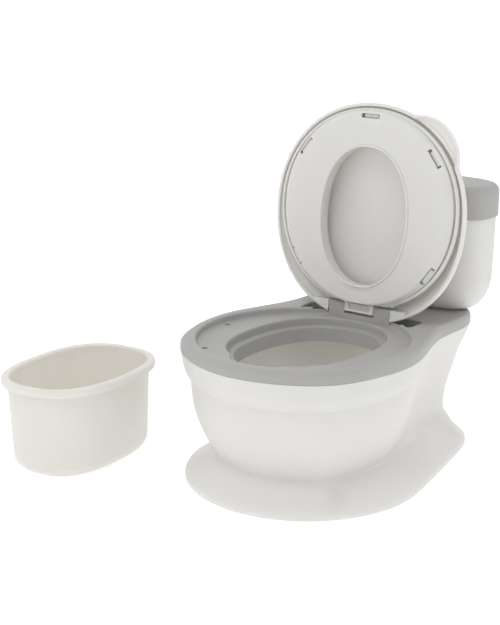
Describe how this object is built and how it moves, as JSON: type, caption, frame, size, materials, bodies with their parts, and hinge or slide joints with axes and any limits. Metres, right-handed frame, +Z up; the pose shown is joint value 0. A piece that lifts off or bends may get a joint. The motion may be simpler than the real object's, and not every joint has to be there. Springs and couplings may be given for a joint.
{
  "type": "potty training chair",
  "caption": "Toddler potty shaped like a small toilet, with a hinged lid and seat ring, a lift-out pot and a tank with a lift-off cap.",
  "frame": {"origin": "on the floor, at the centre of the chair's foot", "axes": "+Z up, -Y the way the sitter faces, +X to the right of someone looking at the chair's front"},
  "size_m": [0.4665, 0.4801, 0.4207],
  "materials": {
    "white_plastic": "satin off-white polypropylene",
    "grey_plastic": "satin warm grey polypropylene",
    "pot_plastic": "satin white polypropylene",
    "steel": "zinc plated",
    "rubber": "matt"
  },
  "bodies": {
    "chair": {"body_shell": "white_plastic", "deck": "grey_plastic", "deck_screws": "steel", "hinge_pin_right": "steel", "hinge_pin_left": "steel", "foot_pad_front_right": "rubber", "foot_pad_front_left": "rubber", "foot_pad_back_right": "rubber", "foot_pad_back_left": "rubber"},
    "tank": {"tank_shell": "white_plastic"},
    "cap": {"tank_cap": "grey_plastic"},
    "lid": {"lid": "white_plastic"},
    "seat": {"seat_top": "white_plastic", "seat_base": "white_plastic"},
    "pot": {"pot": "pot_plastic"}
  },
  "joints": [
    {"name": "lid_hinge", "type": "hinge", "parent": "chair", "child": "lid", "pos_m": [0, 0.061, 0.176], "axis": [1, 0, 0], "range_deg": [0, 95.65]},
    {"name": "seat_hinge", "type": "hinge", "parent": "lid", "child": "seat", "pos_m": [0, 0.061, 0.176], "axis": [-1, 0, 0], "range_deg": [-95.65, 0]},
    {"name": "tank_pull", "type": "slide", "parent": "chair", "child": "tank", "axis": [0, 0, 1], "range_m": [0, 0.04]},
    {"name": "cap_lift", "type": "slide", "parent": "tank", "child": "cap", "axis": [0, 0, 1], "range_m": [0, 0.05]},
    {"name": "pot_lift", "type": "slide", "parent": "chair", "child": "pot", "axis": [0, 0, 1], "range_m": [0, 0.3]}
  ]
}
